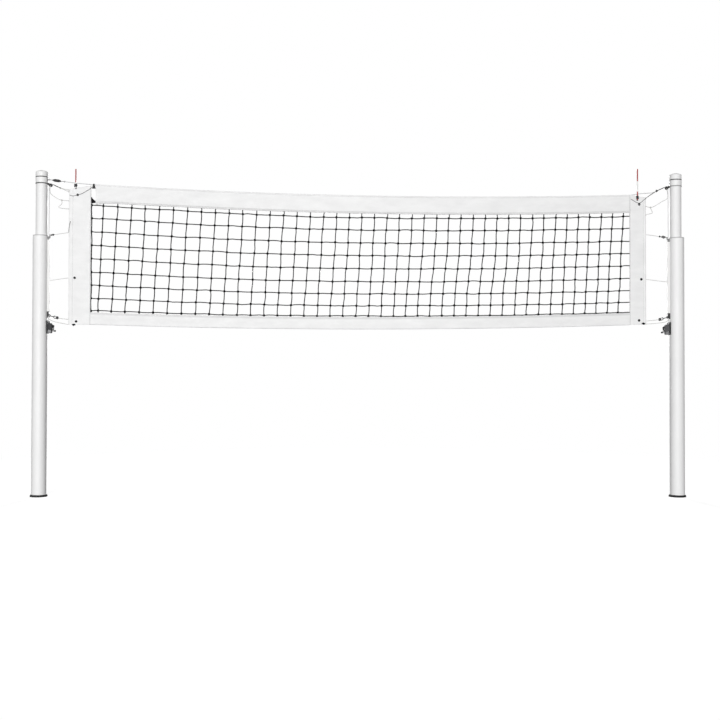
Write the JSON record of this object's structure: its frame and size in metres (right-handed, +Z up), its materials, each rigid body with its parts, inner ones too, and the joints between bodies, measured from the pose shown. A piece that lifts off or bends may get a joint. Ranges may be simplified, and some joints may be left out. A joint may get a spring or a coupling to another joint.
{
  "type": "volleyball net on poles",
  "caption": "Sagging square-mesh net with white bands between two telescopic posts, tightened by cables, snap hooks, a turnbuckle and worm winches, with short antennas",
  "frame": {"origin": "on the floor, midway between the two posts", "axes": "+X along the net to the right post, +Z up, +Y away from the side that the picture is taken from"},
  "size_m": [5.119, 0.1223, 2.58],
  "materials": {
    "post_paint": "satin",
    "cap_plastic": "satin",
    "guide_plastic": "matte",
    "guard_paint": "satin",
    "black_rubber": "matte",
    "black_metal": "satin",
    "cast_grey": "matte",
    "steel": "satin",
    "black_plastic": "satin",
    "net_cord": "matte",
    "band_fabric": "matte",
    "white_cord": "matte",
    "cable_steel": "satin",
    "antenna_red": "satin"
  },
  "bodies": {
    "posts": {"left_foot": "black_rubber", "right_foot": "black_rubber", "left_lower_tube": "post_paint", "right_lower_tube": "post_paint", "collar_bushes": "cap_plastic", "cable_guards": "guard_paint", "collar_eyes": "post_paint", "left_eye_plate": "black_metal", "right_eye_plate": "black_metal", "left_winch_base": "black_metal", "right_winch_base": "black_metal", "left_winch_housing": "cast_grey", "right_winch_housing": "cast_grey", "post_screws": "steel", "left_bottom_hook": "black_metal", "right_bottom_hook": "black_metal", "left_side_ties": "white_cord", "right_side_ties": "white_cord", "left_tension_cable": "cable_steel", "right_tension_cable": "cable_steel"},
    "net_and_upper_tubes": {"left_upper_tube": "post_paint", "right_upper_tube": "post_paint", "guide_rings": "guide_plastic", "left_cap": "cap_plastic", "right_cap": "cap_plastic", "cap_bands": "black_rubber", "left_hook_ring": "black_metal", "right_hook_ring": "black_metal", "left_top_hook": "black_metal", "right_top_hook": "black_metal", "turnbuckle_ends": "steel", "net_mesh": "net_cord", "top_band": "band_fabric", "bottom_band": "band_fabric", "left_side_band": "band_fabric", "right_side_band": "band_fabric", "top_cable": "white_cord", "bottom_rope": "white_cord", "left_antenna": "antenna_red", "right_antenna": "antenna_red", "left_antenna_clamp": "black_plastic", "right_antenna_clamp": "black_plastic", "left_top_ties": "white_cord", "right_top_ties": "white_cord", "eyelets": "black_plastic", "corner_clip": "black_plastic"},
    "left_crank_body": {"left_crank": "black_metal"},
    "right_crank_body": {"right_crank": "black_metal"},
    "left_crank_knob_body": {"left_crank_knob": "black_plastic"},
    "right_crank_knob_body": {"right_crank_knob": "black_plastic"},
    "left_winch_drum_body": {"left_winch_drum": "steel"},
    "right_winch_drum_body": {"right_winch_drum": "steel"},
    "left_top_gate_body": {"left_top_gate": "black_metal"},
    "right_top_gate_body": {"right_top_gate": "black_metal"},
    "left_bottom_gate_body": {"left_bottom_gate": "black_metal"},
    "right_bottom_gate_body": {"right_bottom_gate": "black_metal"},
    "turnbuckle_body_body": {"turnbuckle_body": "black_metal"},
    "left_sheave_body": {"left_sheave": "steel"},
    "right_sheave_body": {"right_sheave": "steel"}
  },
  "joints": [
    {"name": "height_slide", "type": "slide", "parent": "posts", "child": "net_and_upper_tubes", "axis": [0, 0, 1], "range_m": [-0.19, 0], "deforming": ["left_side_ties", "right_side_ties", "left_tension_cable", "right_tension_cable"]},
    {"name": "left_crank_turn", "type": "hinge", "parent": "posts", "child": "left_crank_body", "pos_m": [-2.404, 0.0205, 1.33], "axis": [1, 0, 0], "continuous": true},
    {"name": "right_crank_turn", "type": "hinge", "parent": "posts", "child": "right_crank_body", "pos_m": [2.404, 0.0205, 1.33], "axis": [-1, 0, 0], "continuous": true},
    {"name": "left_knob_spin", "type": "hinge", "parent": "left_crank_body", "child": "left_crank_knob_body", "pos_m": [-2.393, 0.0205, 1.292], "axis": [1, 0, 0], "continuous": true},
    {"name": "right_knob_spin", "type": "hinge", "parent": "right_crank_body", "child": "right_crank_knob_body", "pos_m": [2.393, 0.0205, 1.292], "axis": [-1, 0, 0], "continuous": true},
    {"name": "left_drum_turn", "type": "hinge", "parent": "posts", "child": "left_winch_drum_body", "pos_m": [-2.4235, 0, 1.286], "axis": [0, 1, 0], "continuous": true},
    {"name": "right_drum_turn", "type": "hinge", "parent": "posts", "child": "right_winch_drum_body", "pos_m": [2.4235, 0, 1.286], "axis": [0, -1, 0], "continuous": true},
    {"name": "left_sheave_turn", "type": "hinge", "parent": "net_and_upper_tubes", "child": "left_sheave_body", "pos_m": [-2.422, 0, 2.433], "axis": [0, 1, 0], "continuous": true},
    {"name": "right_sheave_turn", "type": "hinge", "parent": "net_and_upper_tubes", "child": "right_sheave_body", "pos_m": [2.422, 0, 2.433], "axis": [0, -1, 0], "continuous": true},
    {"name": "left_top_gate_swing", "type": "hinge", "parent": "net_and_upper_tubes", "child": "left_top_gate_body", "pos_m": [-2.37161, 0.008, 2.42274], "axis": [0.4226, 0, 0.9063], "range_deg": [-35, 0], "stiffness_Nm_per_rad": 0.02},
    {"name": "right_top_gate_swing", "type": "hinge", "parent": "net_and_upper_tubes", "child": "right_top_gate_body", "pos_m": [2.37161, 0.008, 2.42274], "axis": [0.4226, 0, -0.9063], "range_deg": [-35, 0], "stiffness_Nm_per_rad": 0.02},
    {"name": "left_bottom_gate_swing", "type": "hinge", "parent": "posts", "child": "left_bottom_gate_body", "pos_m": [-2.38569, 0, 1.40777], "axis": [0, -1, 0], "range_deg": [-35, 0], "stiffness_Nm_per_rad": 0.02},
    {"name": "right_bottom_gate_swing", "type": "hinge", "parent": "posts", "child": "right_bottom_gate_body", "pos_m": [2.38569, 0, 1.40777], "axis": [0, 1, 0], "range_deg": [-35, 0], "stiffness_Nm_per_rad": 0.02},
    {"name": "turnbuckle_turn", "type": "hinge", "parent": "net_and_upper_tubes", "child": "turnbuckle_body_body", "pos_m": [-2.4345, 0, 2.477], "axis": [0.9919, 0, -0.1271], "continuous": true}
  ],
  "couplings": [
    {"joint": "left_drum_turn", "follows": "left_crank_turn", "ratio": 0.05},
    {"joint": "right_drum_turn", "follows": "right_crank_turn", "ratio": 0.05},
    {"joint": "left_sheave_turn", "follows": "left_crank_turn", "ratio": 0.04375},
    {"joint": "right_sheave_turn", "follows": "right_crank_turn", "ratio": 0.04375}
  ]
}
